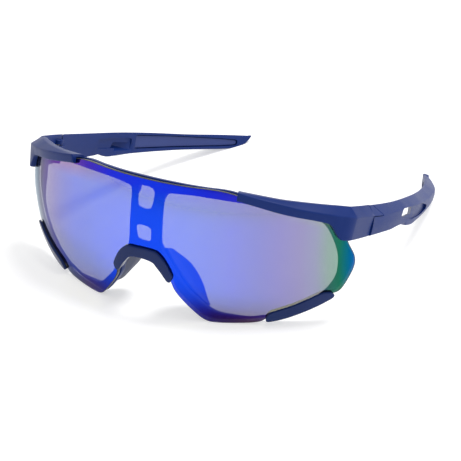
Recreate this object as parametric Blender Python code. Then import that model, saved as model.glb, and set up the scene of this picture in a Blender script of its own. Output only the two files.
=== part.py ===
"""Wraparound sport sunglasses: one shield lens, a rim behind it, and two folding temples.

The pieces are drawn in the wearing frame (millimetres, origin at the centre of the lens sphere,
-Y to the front, +X to the wearer's left) and hang under one empty that tips the glasses forward
until they stand on the two lobes of the lens and the two temple tips.
"""

import math

import bmesh
import bpy
from mathutils import Matrix, Vector

MM = 0.001

# Standing pose
TIP_FORWARD_DEG = 19.3
FRAME_ORIGIN = (0.0, 6.68, 28.0)

# Shield lens, a 6-base sphere
LENS_RADIUS = 88.3
LENS_THICKNESS = 2.0
FIT_GAP = 0.3
SPHERE_STEP_DEG = 5.0

# Half outlines are (x, z) on the lens surface, from the top centre round to the nose arch.
LENS_TOP = [
    (0.0, -1.8), (10.0, -1.7), (17.5, -1.4), (25.0, -0.9), (30.0, -0.8), (36.0, -1.5),
    (43.0, -2.5), (50.0, -3.1), (58.0, -3.8), (64.0, -5.0), (67.4, -7.6), (68.8, -11.5),
]
LENS_SIDE = [
    (69.7, -14.6), (70.8, -16.9), (71.3, -19.5), (71.0, -22.4), (69.7, -26.5), (67.9, -30.8),
    (66.2, -33.7), (63.7, -34.5), (62.2, -35.8), (59.3, -38.2), (53.3, -42.4), (47.4, -45.8),
    (44.9, -46.9), (42.9, -49.1), (38.7, -50.5), (33.5, -51.6), (28.2, -52.6), (25.0, -53.0),
    (22.8, -52.6), (21.2, -51.6), (17.9, -48.5), (14.6, -45.1), (12.0, -41.5), (11.9, -39.6),
    (10.0, -37.0), (7.9, -34.1), (6.3, -32.2), (4.8, -31.3), (0.0, -31.0),
]

# Rim behind the lens
RIM_FRONT = LENS_RADIUS - LENS_THICKNESS - FIT_GAP
RIM_BACK = 83.3
RIM_OVERLAP = 0.3
GROOVE_UNDERCUT = 0.1
RIM_TOP = [
    (0.0, -1.25), (10.0, -1.2), (17.5, -1.05), (24.0, -0.8), (31.0, -0.4), (36.0, -1.0),
    (43.0, -2.0), (50.0, -2.7), (58.0, -3.5), (64.0, -4.8), (67.0, -7.8), (68.4, -11.7),
]
EYE_OPENING = [
    (7.0, -7.4), (8.7, -5.8), (16.9, -4.8), (24.3, -4.5), (38.2, -4.3), (46.0, -4.9), (54.0, -5.8),
    (60.2, -6.8), (62.1, -8.8), (64.1, -13.3), (65.3, -19.0), (64.8, -25.8), (63.2, -30.0),
    (60.0, -34.6), (53.0, -40.0), (45.2, -45.0), (37.9, -47.5), (30.0, -48.8), (26.0, -48.7),
    (23.4, -47.8), (16.2, -41.7), (12.0, -35.7), (8.6, -30.4), (7.0, -26.6),
]
UPPER_WINDOW = [
    (-3.1, -4.9), (2.4, -5.6), (2.6, -10.6), (1.4, -13.1),
    (-3.1, -13.1), (-4.1, -11.0), (-4.1, -5.8),
]
LOWER_WINDOW = [(-3.7, -20.3), (2.0, -20.3), (2.5, -23.4), (2.0, -25.5), (-2.7, -25.5), (-3.7, -23.8)]
COLUMN_BACK = 84.6
COLUMN_SPAN = [(-10.0, -7.0), (10.0, -7.0), (10.0, -26.6), (-10.0, -26.6)]

# Nose bridge clip and lower rim clips, bands on the front of the lens
NOSE_CLIP_FRONT = LENS_RADIUS + 1.3
NOSE_CLIP_OUTER = [
    (0.0, -28.1), (5.2, -28.2), (7.0, -28.8), (9.0, -30.5), (10.2, -32.1), (11.8, -34.9), (12.6, -37.2),
]
NOSE_CLIP_INNER = [(11.0, -39.4), (8.1, -35.9), (6.2, -33.8), (4.9, -32.6), (0.0, -32.0)]
LOWER_CLIP_FRONT = LENS_RADIUS + 1.2
LOWER_CLIP = [
    (45.9, -44.7), (48.8, -43.0), (51.9, -41.2), (55.0, -39.2), (58.0, -37.0), (60.9, -34.7),
    (62.6, -33.7), (64.4, -33.3), (65.2, -33.9), (64.8, -35.1), (63.1, -36.8), (60.3, -39.2),
    (57.4, -41.4), (54.3, -43.5), (51.2, -45.4), (48.1, -47.0), (45.1, -48.2), (43.9, -48.4),
    (44.3, -47.0),
]

# Brow claws and endpieces, a section swept round the top corner of the lens
CREASE_RADIUS = LENS_RADIUS + 2.5
CORNER_FILLET = 8.0
ENDPIECE_X = 71.5
ENDPIECE_END_Y = -38.3
# Stations on the arc: plan angle, lower edge, crease height, ridge run, ridge height, depth, inner edge.
CLAW_ARC = [
    (23.3, -3.2, 0.1, 1.6, 0.2, 7.5, -4.0),
    (28.3, -4.2, -1.0, 2.0, -0.1, 7.5, -4.1),
    (33.4, -5.3, -1.8, 2.5, -0.4, 7.5, -4.3),
    (38.1, -5.9, -2.6, 3.0, -0.4, 7.5, -4.9),
    (42.9, -6.3, -3.0, 3.3, -0.3, 7.5, -5.6),
    (46.2, -7.0, -3.2, 3.6, -0.2, 7.3, -6.6),
    (48.0, -9.8, -3.3, 3.9, -0.1, 6.9, -9.4),
    (49.3, -12.0, -3.3, 4.2, -0.1, 6.9, -11.6),
]
# Stations round the corner: lower edge, crease height, ridge run, ridge height, depth.
CORNER = [
    (-12.4, -3.3, 4.4, -0.1, 6.9), (-12.4, -3.3, 4.4, -0.1, 6.7), (-12.4, -3.35, 4.2, -0.05, 6.2),
    (-12.4, -3.4, 3.8, 0.0, 5.4), (-12.3, -3.4, 3.5, 0.0, 4.6),
]
# Stations on the straight part: y, lower edge, crease height, ridge run, ridge height, depth.
ENDPIECE = [
    (-49.0, -12.2, -3.45, 3.2, 0.0, 4.0), (-44.0, -12.0, -3.5, 2.8, 0.0, 3.5),
    (ENDPIECE_END_Y, -11.7, -3.6, 2.8, 0.0, 3.4),
]

# Hinges
HINGE_X = 68.2
HINGE_Y = -40.2
KNUCKLE_RADIUS = 2.1
BORE_RADIUS = 1.1
TEMPLE_ARM_HALF = 1.2
ENDPIECE_ARM = 1.9
KNUCKLE_TOP = (-3.9, -2.0)
KNUCKLE_MIDDLE = (-8.2, -4.25)
KNUCKLE_BOTTOM = (-11.5, -8.5)
SCREW_RADIUS = 0.8
SCREW_HEAD_RADIUS = 1.35
SCREW_HEAD_HEIGHT = 0.8
NUT_RADIUS = 1.35
NUT_HEIGHT = 1.1

# Temples: plan arc of the inner face, then heights and thickness along y
TEMPLE_START_Y = -38.0
TEMPLE_BEND_Y = -35.0
TEMPLE_BEND_RADIUS = 258.0
TEMPLE_INNER_X = 68.4
TEMPLE_TOP = [(-38.0, 0.0), (-20.0, -0.1), (10.0, 0.2), (20.0, 0.2), (43.0, 0.1), (67.0, 0.8), (80.0, 1.2)]
TEMPLE_BOTTOM = [
    (-38.0, -11.6), (-29.0, -11.0), (-19.0, -10.4), (-10.5, -9.6), (-8.0, -9.2), (-6.0, -9.8),
    (-1.5, -10.3), (6.0, -9.5), (19.0, -8.6), (31.0, -7.8), (43.0, -7.0), (54.0, -6.4),
    (67.0, -5.6), (74.0, -4.6), (77.5, -2.4), (79.4, 0.4),
]
TEMPLE_BOTTOM_OUTER = [
    (-38.0, -11.6), (-29.0, -11.0), (-19.0, -10.4), (-10.5, -9.5), (-4.0, -9.2), (0.0, -10.4),
    (6.0, -10.6), (13.0, -9.9), (19.0, -9.2), (31.0, -8.0), (43.0, -7.0), (54.0, -6.4),
    (67.0, -5.6), (74.0, -4.6), (77.5, -2.4), (79.4, 0.4),
]
TEMPLE_CREASE = [
    (-38.0, -3.7), (-30.0, -3.9), (-11.0, -3.0), (-5.0, -2.5), (30.0, -2.4), (60.0, -1.6), (80.0, 0.2),
]
TEMPLE_THICKNESS = [
    (-38.0, 3.1), (-20.0, 3.6), (0.0, 3.9), (40.0, 4.7), (58.0, 5.2), (72.0, 3.9), (80.0, 2.4),
]
TEMPLE_STATIONS = [
    -38.0, -33.0, -28.0, -22.0, -16.0, -10.5, -8.0, -6.0, -4.0, -1.5, 0.0, 6.0, 13.0, 20.0, 28.0, 36.0, 44.0,
    52.0, 60.0, 67.0, 71.0, 74.0, 76.0, 77.5, 79.4,
]
FRONT_POCKET = {"y": [-10.0, 2.0, 12.5], "low": [-6.9, -6.6, -7.0], "high": [-2.6, -2.3, -2.2], "depth": 0.6}
REAR_POCKET = {
    "y": [15.0, 28.0, 40.0, 52.0, 64.0, 73.0],
    "low": [-6.9, -6.4, -5.8, -5.2, -4.5, -3.6],
    "high": [-0.9, -0.9, -0.8, -0.9, -0.9, -1.1],
    "depth": 1.5,
}
GRIP_RECESS = 0.5
VENT_RECESS = {
    "y": [-9.5, 4.0, 20.0, 30.0],
    "low": [-6.6, -8.2, -7.6, -6.2],
    "high": [-3.2, -2.9, -3.2, -4.8],
}
VENT_RECESS_DEPTH = 0.6
VENT_OUTER = [(-8.6, -6.4), (3.7, -5.9), (3.7, -3.0), (-6.9, -3.0)]
VENT_INNER = [(-0.4, -7.6), (12.0, -7.2), (12.0, -4.2), (1.3, -4.2)]
VENT_LEVELS = (3.3, 0.6)
VENT_PAST = 1.6
TONGUE_BACK_Y = -30.0
TONGUE_UNDERSIDE = -3.9

# Nose pads: front edge on the rim's back, depth, sideways flare and drop along the pad
PAD_FRONT = RIM_BACK - FIT_GAP
PAD_SEAT = 2.4
PAD_WALL = 1.6
PAD_STATIONS = [
    (5.9, -29.6, 6.5, 0.3, -0.8), (6.9, -32.0, 10.2, 0.4, -0.8), (8.3, -34.4, 12.2, 0.9, -0.6),
    (10.2, -37.3, 13.3, 0.9, -0.4), (12.4, -40.6, 12.9, 1.0, -0.4), (14.8, -44.0, 10.8, 1.1, -0.4),
    (17.0, -46.4, 8.6, 0.6, -0.4), (19.2, -48.6, 6.2, 0.0, -0.3), (21.3, -50.2, 3.4, 0.0, -0.3),
]

NAVY_MATTE = (0.055, 0.085, 0.300)
NAVY_GLOSS = (0.020, 0.035, 0.130)


def clear_scene():
    for item in list(bpy.data.objects):
        bpy.data.objects.remove(item, do_unlink=True)


def make_material(name, colour, roughness, metallic=0.0, alpha=1.0):
    material = bpy.data.materials.new(name)
    material.use_nodes = True
    shader = material.node_tree.nodes["Principled BSDF"]
    shader.inputs["Base Color"].default_value = (*colour, 1.0)
    shader.inputs["Roughness"].default_value = roughness
    shader.inputs["Metallic"].default_value = metallic
    shader.inputs["Alpha"].default_value = alpha
    return material


def object_from_bmesh(name, shape):
    """Turn a bmesh in millimetres into an object in metres with its faces pointing out."""
    bmesh.ops.recalc_face_normals(shape, faces=shape.faces[:])
    bmesh.ops.scale(shape, vec=(MM, MM, MM), verts=shape.verts[:])
    mesh = bpy.data.meshes.new(name)
    shape.to_mesh(mesh)
    shape.free()
    item = bpy.data.objects.new(name, mesh)
    bpy.context.collection.objects.link(item)
    return item


def loft(name, rings):
    """Closed solid through planar rings that all have the same number of points."""
    shape = bmesh.new()
    rows = [[shape.verts.new(point) for point in ring] for ring in rings]
    count = len(rows[0])
    for row, following in zip(rows, rows[1:]):
        for i in range(count):
            j = (i + 1) % count
            shape.faces.new((row[i], row[j], following[j], following[i]))
    shape.faces.new(rows[0])
    shape.faces.new(list(reversed(rows[-1])))
    return object_from_bmesh(name, shape)


def combine(target, other, operation):
    """Apply an exact boolean to target and remove the other object."""
    modifier = target.modifiers.new(operation.lower(), "BOOLEAN")
    modifier.solver = "EXACT"
    modifier.operation = operation
    modifier.object = other
    bpy.context.view_layer.update()
    graph = bpy.context.evaluated_depsgraph_get()
    result = bpy.data.meshes.new_from_object(target.evaluated_get(graph))
    target.modifiers.clear()
    target.data = result
    bpy.data.objects.remove(other, do_unlink=True)
    return target


def cylinder(name, x, y, z_low, z_high, radius, sides=24):
    angles = [2.0 * math.pi * k / sides for k in range(sides)]
    circle = [(x + radius * math.cos(a), y + radius * math.sin(a)) for a in angles]
    return loft(name, [[Vector((px, py, z)) for px, py in circle] for z in (z_low, z_high)])


def block(name, low, high):
    corners = [(low[0], low[1]), (high[0], low[1]), (high[0], high[1]), (low[0], high[1])]
    return loft(name, [[Vector((x, y, z)) for x, y in corners] for z in (low[2], high[2])])


def prism(name, outline, y_front, y_back):
    """Outline in x and z, extruded straight along y."""
    return loft(name, [[Vector((x, y, z)) for x, z in outline] for y in (y_front, y_back)])


def both_sides(half):
    """Close a half outline that starts and ends on the centre line."""
    return half + [(-x, z) for x, z in reversed(half) if x > 0.0]


def offset_outline(outline, distance):
    """Move a closed outline outward along the mean normal of each corner's two sides."""
    area = sum(a[0] * b[1] - b[0] * a[1] for a, b in zip(outline, outline[1:] + outline[:1]))
    turn = 1.0 if area > 0.0 else -1.0
    moved = []
    for i, (x, z) in enumerate(outline):
        before = Vector(outline[i - 1])
        here = Vector((x, z))
        after = Vector(outline[(i + 1) % len(outline)])
        first = (here - before).normalized()
        second = (after - here).normalized()
        normal = Vector((first.y + second.y, -first.x - second.x)).normalized() * turn
        stretch = max(0.6, normal.dot(Vector((first.y, -first.x)) * turn))
        moved.append((x + normal.x * distance / stretch, z + normal.y * distance / stretch))
    return moved


def on_sphere(x, z, radius):
    """Point at this radius, in the direction of (x, z) on the lens's outer surface."""
    depth = math.sqrt(LENS_RADIUS ** 2 - x * x - z * z)
    return Vector((x, -depth, z)) * (radius / LENS_RADIUS)


def spherical_plate(name, outline, inner_radius, outer_radius):
    """Plate between two radii, with radial edges that follow an outline on the lens surface."""
    sheet = bmesh.new()
    sheet.faces.new([sheet.verts.new((x, 0.0, z)) for x, z in outline])
    steps = range(-12, 13)
    for axis in (0, 2):
        for k in steps:
            place = [0.0, 0.0, 0.0]
            normal = [0.0, 0.0, 0.0]
            place[axis] = LENS_RADIUS * math.sin(math.radians(k * SPHERE_STEP_DEG)) + 0.013
            normal[axis] = 1.0
            everything = sheet.verts[:] + sheet.edges[:] + sheet.faces[:]
            bmesh.ops.bisect_plane(sheet, geom=everything, dist=0.001, plane_co=place, plane_no=normal)
    sheet.verts.index_update()
    spots = [(v.co.x, v.co.z) for v in sheet.verts]
    cells = [[v.index for v in f.verts] for f in sheet.faces]
    rim = [(e.verts[0].index, e.verts[1].index) for e in sheet.edges if e.is_boundary]
    sheet.free()
    shape = bmesh.new()
    outer = [shape.verts.new(on_sphere(x, z, outer_radius)) for x, z in spots]
    inner = [shape.verts.new(on_sphere(x, z, inner_radius)) for x, z in spots]
    for cell in cells:
        shape.faces.new([outer[i] for i in cell])
        shape.faces.new([inner[i] for i in reversed(cell)])
    for i, j in rim:
        shape.faces.new((outer[i], outer[j], inner[j], inner[i]))
    return object_from_bmesh(name, shape)


def mirrored(item, name):
    """Copy of an object on the other side of the centre plane."""
    shape = bmesh.new()
    shape.from_mesh(item.data)
    bmesh.ops.scale(shape, vec=(-1.0, 1.0, 1.0), verts=shape.verts[:])
    bmesh.ops.reverse_faces(shape, faces=shape.faces[:])
    mesh = bpy.data.meshes.new(name)
    shape.to_mesh(mesh)
    shape.free()
    copy = bpy.data.objects.new(name, mesh)
    bpy.context.collection.objects.link(copy)
    return copy


def lens_outline():
    return both_sides(LENS_TOP + LENS_SIDE)


def lens_clearance():
    """The lens grown by the fit gap, for the grooves that hold it."""
    grown = offset_outline(lens_outline(), FIT_GAP + 0.05)
    return spherical_plate("lens_clearance", grown, RIM_FRONT - GROOVE_UNDERCUT, LENS_RADIUS + FIT_GAP)


def claw_ring(place, normal, low, crease, run, ridge, depth, inner_low):
    """Section of the brow: front lip, crease, ridge, flat top and inner face."""
    flat = run + 0.6 * (depth - run)
    offsets = [
        (-0.9, low), (-0.1, crease - 0.8), (0.0, crease), (-run, ridge), (-flat, ridge),
        (-depth, ridge - 0.9), (-depth, inner_low), (-1.8, low - 0.1),
    ]
    return [Vector((place[0] + u * normal[0], place[1] + u * normal[1], z)) for u, z in offsets]


def brow_claw(name):
    """Claw over the lens's top corner and the endpiece behind it, on the +X side."""
    rings = []
    for angle, low, crease, run, ridge, depth, inner_low in CLAW_ARC:
        normal = (math.sin(math.radians(angle)), -math.cos(math.radians(angle)))
        place = (CREASE_RADIUS * normal[0], CREASE_RADIUS * normal[1])
        rings.append(claw_ring(place, normal, low, crease, run, ridge, depth, inner_low))
    centre_x = ENDPIECE_X - CORNER_FILLET
    reach = CREASE_RADIUS - CORNER_FILLET
    centre_y = -math.sqrt(reach ** 2 - centre_x ** 2)
    start = math.degrees(math.asin(centre_x / reach))
    for k, (low, crease, run, ridge, depth) in enumerate(CORNER):
        angle = math.radians(start + (90.0 - start) * k / (len(CORNER) - 1))
        normal = (math.sin(angle), -math.cos(angle))
        place = (centre_x + CORNER_FILLET * normal[0], centre_y + CORNER_FILLET * normal[1])
        rings.append(claw_ring(place, normal, low, crease, run, ridge, depth, low + 0.1))
    for y, low, crease, run, ridge, depth in ENDPIECE:
        rings.append(claw_ring((ENDPIECE_X, y), (1.0, 0.0), low, crease, run, ridge, depth, low))
    return loft(name, rings)


def read_curve(points, y):
    """Value on a straight-line curve through (y, value) points."""
    if y <= points[0][0]:
        return points[0][1]
    for (y0, v0), (y1, v1) in zip(points, points[1:]):
        if y <= y1:
            return v0 + (v1 - v0) * (y - y0) / (y1 - y0)
    return points[-1][1]


def temple_point(y, outward, z):
    """Point at this y on the +X temple's inner face, moved outward along the face's normal."""
    if y < TEMPLE_BEND_Y:
        return Vector((TEMPLE_INNER_X + outward, y, z))
    bend = math.asin((y - TEMPLE_BEND_Y) / TEMPLE_BEND_RADIUS)
    x = TEMPLE_INNER_X - TEMPLE_BEND_RADIUS * (1.0 - math.cos(bend))
    return Vector((x + outward * math.cos(bend), y + outward * math.sin(bend), z))


def temple_ring(y):
    top = read_curve(TEMPLE_TOP, y)
    bottom = read_curve(TEMPLE_BOTTOM, y)
    crease = max(read_curve(TEMPLE_CREASE, y), bottom + 0.4)
    thick = read_curve(TEMPLE_THICKNESS, y)
    middle = 0.5 * (crease + bottom)
    outer = read_curve(TEMPLE_BOTTOM_OUTER, y)
    section = [
        (0.0, bottom + 0.2), (0.0, top - 0.3), (0.5, top), (thick, crease),
        (thick + 0.1, middle), (thick - 0.2, outer + 0.3), (thick - 0.8, outer), (0.6, bottom),
    ]
    return [temple_point(y, u, z) for u, z in section]


def temple_block(name, pocket, outward_low, outward_high, margin=0.0):
    """Block that follows the temple's arc between two distances from its inner face."""
    rings = []
    last = len(pocket["y"]) - 1
    for i, y in enumerate(pocket["y"]):
        shift = margin if i == 0 else -margin if i == last else 0.0
        low = pocket["low"][i] + margin
        high = pocket["high"][i] - margin
        corners = [(outward_low, low), (outward_high, low), (outward_high, high), (outward_low, high)]
        rings.append([temple_point(y + shift, u, z) for u, z in corners])
    return loft(name, rings)


def tongue_zone(name, margin):
    """Corner of the temple's top bevel that belongs to the endpiece, grown by margin."""
    back = TONGUE_BACK_Y + 2.4 * margin
    plan = [
        (TEMPLE_INNER_X - 2.0, TEMPLE_START_Y - 6.0), (ENDPIECE_X + 3.0, TEMPLE_START_Y - 6.0),
        (ENDPIECE_X + 3.0, back + 4.0), (ENDPIECE_X, back),
        (TEMPLE_INNER_X - 2.0, TEMPLE_START_Y - 4.4 + 2.4 * margin),
    ]
    return loft(name, [[Vector((x, y, z)) for x, y in plan] for z in (TONGUE_UNDERSIDE - margin, 4.0)])


def stand_on_plane(item):
    """Cut a flat foot where the piece would reach below the surface the glasses stand on."""
    below = block("below_surface", (-100.0, -120.0, -40.0), (100.0, 120.0, 0.0))
    to_wearing_frame = Matrix.Rotation(math.radians(TIP_FORWARD_DEG), 4, "X")
    below.data.transform(to_wearing_frame @ Matrix.Translation([-value * MM for value in FRAME_ORIGIN]))
    return combine(item, below, "DIFFERENCE")


def drill_hinge(item, radius, low, high):
    return combine(item, cylinder("bore", HINGE_X, HINGE_Y, low, high, radius), "DIFFERENCE")


def vent_slot(name):
    """Slanted slot from the outer mouth to the inner one, carried on past both at the same slant."""
    share = VENT_PAST / (VENT_LEVELS[0] - VENT_LEVELS[1])
    rings = []
    for mouth, other, level in (
        (VENT_OUTER, VENT_INNER, VENT_LEVELS[0] + VENT_PAST),
        (VENT_INNER, VENT_OUTER, VENT_LEVELS[1] - VENT_PAST),
    ):
        ring = []
        for (y, z), (other_y, other_z) in zip(mouth, other):
            ring.append(temple_point(y + share * (y - other_y), level, z + share * (z - other_z)))
        rings.append(ring)
    return loft(name, rings)


def temple(name):
    body = loft(name, [temple_ring(y) for y in TEMPLE_STATIONS])
    combine(body, tongue_zone("tongue_room", FIT_GAP), "DIFFERENCE")
    combine(body, temple_block("front_pocket", FRONT_POCKET, -1.0, FRONT_POCKET["depth"]), "DIFFERENCE")
    combine(body, temple_block("rear_pocket", REAR_POCKET, -1.0, REAR_POCKET["depth"]), "DIFFERENCE")
    outer = read_curve(TEMPLE_THICKNESS, 0.0)
    recess = temple_block("vent_recess", VENT_RECESS, outer - VENT_RECESS_DEPTH, outer + 2.0)
    combine(body, recess, "DIFFERENCE")
    combine(body, vent_slot("vent"), "DIFFERENCE")
    room = cylinder("swing_room", HINGE_X, HINGE_Y, -14.0, 4.0, KNUCKLE_RADIUS + FIT_GAP)
    combine(body, room, "DIFFERENCE")
    low, high = KNUCKLE_MIDDLE
    knuckle = cylinder("knuckle", HINGE_X, HINGE_Y, low, high, KNUCKLE_RADIUS)
    arm_low = (HINGE_X - TEMPLE_ARM_HALF, HINGE_Y, low)
    arm = block("arm", arm_low, (HINGE_X + TEMPLE_ARM_HALF, TEMPLE_START_Y + 2.5, high))
    combine(knuckle, arm, "UNION")
    combine(body, knuckle, "UNION")
    drill_hinge(body, BORE_RADIUS, -14.0, 4.0)
    return stand_on_plane(body)


def endpiece(name):
    """Claw, endpiece, top tongue and the two outer hinge knuckles of the +X side."""
    body = brow_claw(name)
    combine(body, lens_clearance(), "DIFFERENCE")
    tongue = loft("tongue", [temple_ring(y) for y in (-38.6, -33.0, -28.0)])
    combine(tongue, tongue_zone("tongue_zone", 0.0), "INTERSECT")
    combine(body, tongue, "UNION")
    low, high = KNUCKLE_BOTTOM[1], KNUCKLE_TOP[0]
    room = cylinder("swing_room", HINGE_X, HINGE_Y, low, high, KNUCKLE_RADIUS + FIT_GAP)
    combine(body, room, "DIFFERENCE")
    for low, high in (KNUCKLE_TOP, KNUCKLE_BOTTOM):
        knuckle = cylinder("knuckle", HINGE_X, HINGE_Y, low, high, KNUCKLE_RADIUS)
        arm = block("arm", (HINGE_X, HINGE_Y - 4.5, low), (HINGE_X + ENDPIECE_ARM, HINGE_Y, high))
        combine(knuckle, arm, "UNION")
        combine(body, knuckle, "UNION")
    drill_hinge(body, BORE_RADIUS, -14.0, KNUCKLE_TOP[0] + NUT_HEIGHT + 0.6)
    drill_hinge(body, SCREW_HEAD_RADIUS + FIT_GAP, -14.0, KNUCKLE_BOTTOM[0] + SCREW_HEAD_HEIGHT)
    return drill_hinge(body, NUT_RADIUS + FIT_GAP, -5.0, KNUCKLE_TOP[0] + NUT_HEIGHT)


def front_frame():
    grown = offset_outline(lens_outline(), RIM_OVERLAP)
    rim_half = RIM_TOP + grown[len(LENS_TOP):][:len(LENS_SIDE)]
    rim_half[-1] = (0.0, rim_half[-1][1])
    rim = spherical_plate("front_frame", both_sides(rim_half), RIM_BACK, RIM_FRONT)
    for sign in (1.0, -1.0):
        outline = [(sign * x, z) for x, z in EYE_OPENING]
        combine(rim, prism("eye_opening", outline, -100.0, -20.0), "DIFFERENCE")
    for window in (UPPER_WINDOW, LOWER_WINDOW):
        combine(rim, prism("column_window", window, -100.0, -60.0), "DIFFERENCE")
    combine(rim, spherical_plate("column_relief", COLUMN_SPAN, RIM_BACK - 1.0, COLUMN_BACK), "DIFFERENCE")
    left = endpiece("left_endpiece")
    right = mirrored(left, "right_endpiece")
    combine(rim, left, "UNION")
    return combine(rim, right, "UNION")


def shield_lens():
    lens = spherical_plate("shield_lens", lens_outline(), LENS_RADIUS - LENS_THICKNESS, LENS_RADIUS)
    return stand_on_plane(lens)


def front_band(name, outline, front_radius):
    """Band clipped over the lens's edge, with the lens's own shape cut out of it."""
    band = spherical_plate(name, outline, RIM_FRONT + FIT_GAP, front_radius)
    combine(band, lens_clearance(), "DIFFERENCE")
    return stand_on_plane(band)


def nose_pad(name):
    """Soft pad behind the nose edge of the rim, flaring outward towards the face."""
    rings = []
    for x, z, depth, flare, drop in PAD_STATIONS:
        root = on_sphere(x, z, PAD_FRONT)
        section = [
            (0.0, 0.0), (0.55 * depth, 0.15 * flare), (depth, flare), (depth, flare + PAD_WALL),
            (0.55 * depth, 0.2 * flare + PAD_WALL), (0.2, PAD_SEAT),
        ]
        rings.append([
            Vector((root.x + side, root.y + back, root.z + drop * back / depth + 0.25 * side))
            for back, side in section
        ])
    return loft(name, rings)


def hinge_screw(name):
    """Slotted screw with its head in the lowest knuckle and its end in the nut."""
    low = KNUCKLE_BOTTOM[0] + 0.1
    screw = cylinder(name, HINGE_X, HINGE_Y, low + 0.3, KNUCKLE_TOP[0] + NUT_HEIGHT + 0.2, SCREW_RADIUS)
    head = cylinder("head", HINGE_X, HINGE_Y, low, low + SCREW_HEAD_HEIGHT - 0.4, SCREW_HEAD_RADIUS)
    combine(screw, head, "UNION")
    slot_low = (HINGE_X - 3.0, HINGE_Y - 0.2, low - 1.0)
    slot_high = (HINGE_X + 3.0, HINGE_Y + 0.2, low + 0.25)
    return combine(screw, block("slot", slot_low, slot_high), "DIFFERENCE")


def hinge_nut(name):
    """Hexagonal nut pressed into the underside of the top knuckle."""
    low = KNUCKLE_TOP[0]
    nut = cylinder(name, HINGE_X, HINGE_Y, low + 0.1, low + NUT_HEIGHT - 0.2, NUT_RADIUS, sides=6)
    return drill_hinge(nut, BORE_RADIUS, low - 1.0, low + 5.0)


def grip_strip(name):
    return temple_block(name, REAR_POCKET, GRIP_RECESS, REAR_POCKET["depth"] - FIT_GAP, margin=FIT_GAP)


def finish(item, material, parent, smooth=False):
    """Give a piece its material and hang it under its parent without moving its mesh."""
    item.data.materials.clear()
    item.data.materials.append(material)
    if smooth:
        item.data.shade_smooth()
        item.data.set_sharp_from_angle(angle=math.radians(30.0))
    item.parent = parent


def move_origin(item, x, y):
    """Shift the mesh so that the object's own origin is the hinge axis."""
    for vertex in item.data.vertices:
        vertex.co.x -= x * MM
        vertex.co.y -= y * MM


def make_empty(name, parent=None):
    empty = bpy.data.objects.new(name, None)
    empty.empty_display_size = 0.01
    bpy.context.collection.objects.link(empty)
    empty.parent = parent
    return empty


def main():
    clear_scene()
    frame = make_empty("wearing_frame")
    frame.location = [value * MM for value in FRAME_ORIGIN]
    frame.rotation_euler = (-math.radians(TIP_FORWARD_DEG), 0.0, 0.0)

    matte = make_material("frame_matte_navy", NAVY_MATTE, 0.45)
    gloss = make_material("clip_gloss_navy", NAVY_GLOSS, 0.2)
    mirror = make_material("lens_blue_mirror", (0.05, 0.10, 0.80), 0.05, metallic=0.6, alpha=0.7)
    rubber = make_material("pad_grey_rubber", (0.12, 0.13, 0.20), 0.6)
    grip = make_material("grip_navy_rubber", (0.05, 0.07, 0.24), 0.7)
    steel = make_material("screw_steel", (0.55, 0.56, 0.58), 0.3, metallic=1.0)
    brass = make_material("nut_brass", (0.60, 0.45, 0.20), 0.35, metallic=1.0)

    finish(front_frame(), matte, frame)
    finish(shield_lens(), mirror, frame, smooth=True)
    clip_half = NOSE_CLIP_OUTER + NOSE_CLIP_INNER
    finish(front_band("nose_bridge_clip", both_sides(clip_half), NOSE_CLIP_FRONT), gloss, frame)

    fixed = {
        "lower_rim_clip": (lambda n: front_band(n, LOWER_CLIP, LOWER_CLIP_FRONT), gloss, False),
        "nose_pad": (nose_pad, rubber, True),
        "hinge_screw": (hinge_screw, steel, True),
        "hinge_nut": (hinge_nut, brass, False),
    }
    for kind, (build, material, smooth) in fixed.items():
        left = build(kind + "_left")
        finish(mirrored(left, kind + "_right"), material, frame, smooth)
        finish(left, material, frame, smooth)

    temple_left = temple("temple_left")
    grip_left = grip_strip("temple_grip_left")
    temple_right = mirrored(temple_left, "temple_right")
    grip_right = mirrored(grip_left, "temple_grip_right")
    for side, sign, arm, strip in (
        ("left", 1.0, temple_left, grip_left),
        ("right", -1.0, temple_right, grip_right),
    ):
        axis = make_empty(side + "_hinge_axis", frame)
        axis.location = (sign * HINGE_X * MM, HINGE_Y * MM, 0.0)
        for item, material in ((arm, matte), (strip, grip)):
            move_origin(item, sign * HINGE_X, HINGE_Y)
            finish(item, material, axis)


main()
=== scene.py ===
"""Wraparound sport sunglasses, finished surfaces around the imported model.

Shapes are drawn in the wearing frame in millimetres (origin at the centre of the lens sphere, -Y to
the front, +X to the wearer's left). TO_ROW brings them to the row frame in metres.
"""

import math

import bmesh
import bpy
import numpy as np
from mathutils import Matrix, Vector
from mathutils.geometry import delaunay_2d_cdt


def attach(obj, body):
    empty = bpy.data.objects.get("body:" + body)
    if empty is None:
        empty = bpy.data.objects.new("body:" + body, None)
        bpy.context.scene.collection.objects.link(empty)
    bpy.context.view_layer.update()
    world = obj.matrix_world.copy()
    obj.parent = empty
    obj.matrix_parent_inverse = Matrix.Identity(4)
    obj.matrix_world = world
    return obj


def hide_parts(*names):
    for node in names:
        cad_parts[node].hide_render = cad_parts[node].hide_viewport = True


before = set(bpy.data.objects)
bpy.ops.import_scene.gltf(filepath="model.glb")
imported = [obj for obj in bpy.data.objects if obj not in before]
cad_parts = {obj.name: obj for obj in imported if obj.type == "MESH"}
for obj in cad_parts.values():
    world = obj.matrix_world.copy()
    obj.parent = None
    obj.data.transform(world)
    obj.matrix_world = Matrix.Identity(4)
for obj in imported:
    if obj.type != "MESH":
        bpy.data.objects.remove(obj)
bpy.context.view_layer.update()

MM = 0.001
TIP_FORWARD_DEG = 19.3
FRAME_ORIGIN = (0.0, 6.68, 28.0)
TO_ROW = (
    Matrix.Translation([value * MM for value in FRAME_ORIGIN])
    @ Matrix.Rotation(-math.radians(TIP_FORWARD_DEG), 4, "X")
    @ Matrix.Diagonal((MM, MM, MM, 1.0))
)

SMOOTH_DEG = 32.0

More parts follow.
